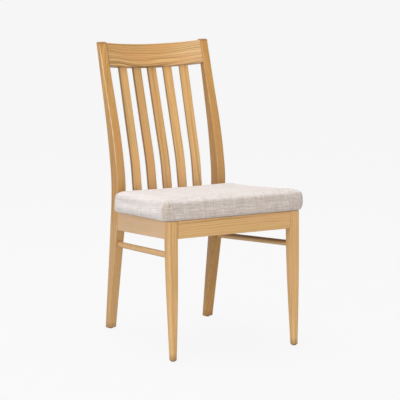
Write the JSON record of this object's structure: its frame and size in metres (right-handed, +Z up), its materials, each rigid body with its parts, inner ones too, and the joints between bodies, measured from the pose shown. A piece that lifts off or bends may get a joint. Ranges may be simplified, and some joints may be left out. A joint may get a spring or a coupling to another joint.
{
  "type": "dining chair",
  "caption": "Armless oak dining chair with a raked slat back, a curved crest rail, tapered legs, side stretchers and a padded fabric seat.",
  "frame": {"origin": "on the floor, at the middle of the chair's box", "axes": "+Z up; the sitter faces -Y; +X to the sitter's left, which is the right-hand side seen from the front"},
  "size_m": [0.4432, 0.5374, 0.85],
  "materials": {
    "oak_leg": "clear satin lacquer on solid oak, grain along the leg",
    "oak_rail": "clear satin lacquer on solid oak, grain along the rail",
    "oak_back": "clear satin lacquer on solid oak, grain along the piece",
    "beech": "bare planed beech",
    "plywood": "bare birch plywood",
    "foam": "cut polyurethane foam, cream",
    "seat_fabric": "coarse linen-look weave in pale beige and grey yarns, with slubs",
    "base_cloth": "thin black non-woven cloth",
    "zinc_screw": "yellow zinc plated steel",
    "nylon_glide": "brown nylon, moulded"
  },
  "bodies": {
    "root": {"back_slat_1": "oak_back", "back_slat_2": "oak_back", "back_slat_3": "oak_back", "back_slat_4": "oak_back", "back_slat_5": "oak_back", "block_screw_front_1_left": "zinc_screw", "block_screw_front_1_right": "zinc_screw", "block_screw_front_2_left": "zinc_screw", "block_screw_front_2_right": "zinc_screw", "block_screw_rear_1_left": "zinc_screw", "block_screw_rear_1_right": "zinc_screw", "block_screw_rear_2_left": "zinc_screw", "block_screw_rear_2_right": "zinc_screw", "corner_block_front_left": "beech", "corner_block_front_right": "beech", "corner_block_rear_left": "beech", "corner_block_rear_right": "beech", "crest_rail": "oak_back", "dowel_front_apron_1_left": "beech", "dowel_front_apron_1_right": "beech", "dowel_front_apron_2_left": "beech", "dowel_front_apron_2_right": "beech", "dowel_rear_apron_1_left": "beech", "dowel_rear_apron_1_right": "beech", "dowel_rear_apron_2_left": "beech", "dowel_rear_apron_2_right": "beech", "dowel_side_front_1_left": "beech", "dowel_side_front_1_right": "beech", "dowel_side_front_2_left": "beech", "dowel_side_front_2_right": "beech", "dowel_side_rear_1_left": "beech", "dowel_side_rear_1_right": "beech", "dowel_side_rear_2_left": "beech", "dowel_side_rear_2_right": "beech", "front_apron": "oak_rail", "front_leg_left": "oak_leg", "front_leg_right": "oak_leg", "glide_front_left": "nylon_glide", "glide_front_right": "nylon_glide", "glide_rear_left": "nylon_glide", "glide_rear_right": "nylon_glide", "rear_apron": "oak_rail", "rear_leg_left": "oak_back", "rear_leg_right": "oak_back", "seat_base_cloth": "base_cloth", "seat_board": "plywood", "seat_cover": "seat_fabric", "seat_foam": "foam", "seat_screw_front_left": "zinc_screw", "seat_screw_front_right": "zinc_screw", "seat_screw_rear_left": "zinc_screw", "seat_screw_rear_right": "zinc_screw", "side_apron_left": "oak_rail", "side_apron_right": "oak_rail", "side_stretcher_left": "oak_rail", "side_stretcher_right": "oak_rail"}
  },
  "joints": []
}
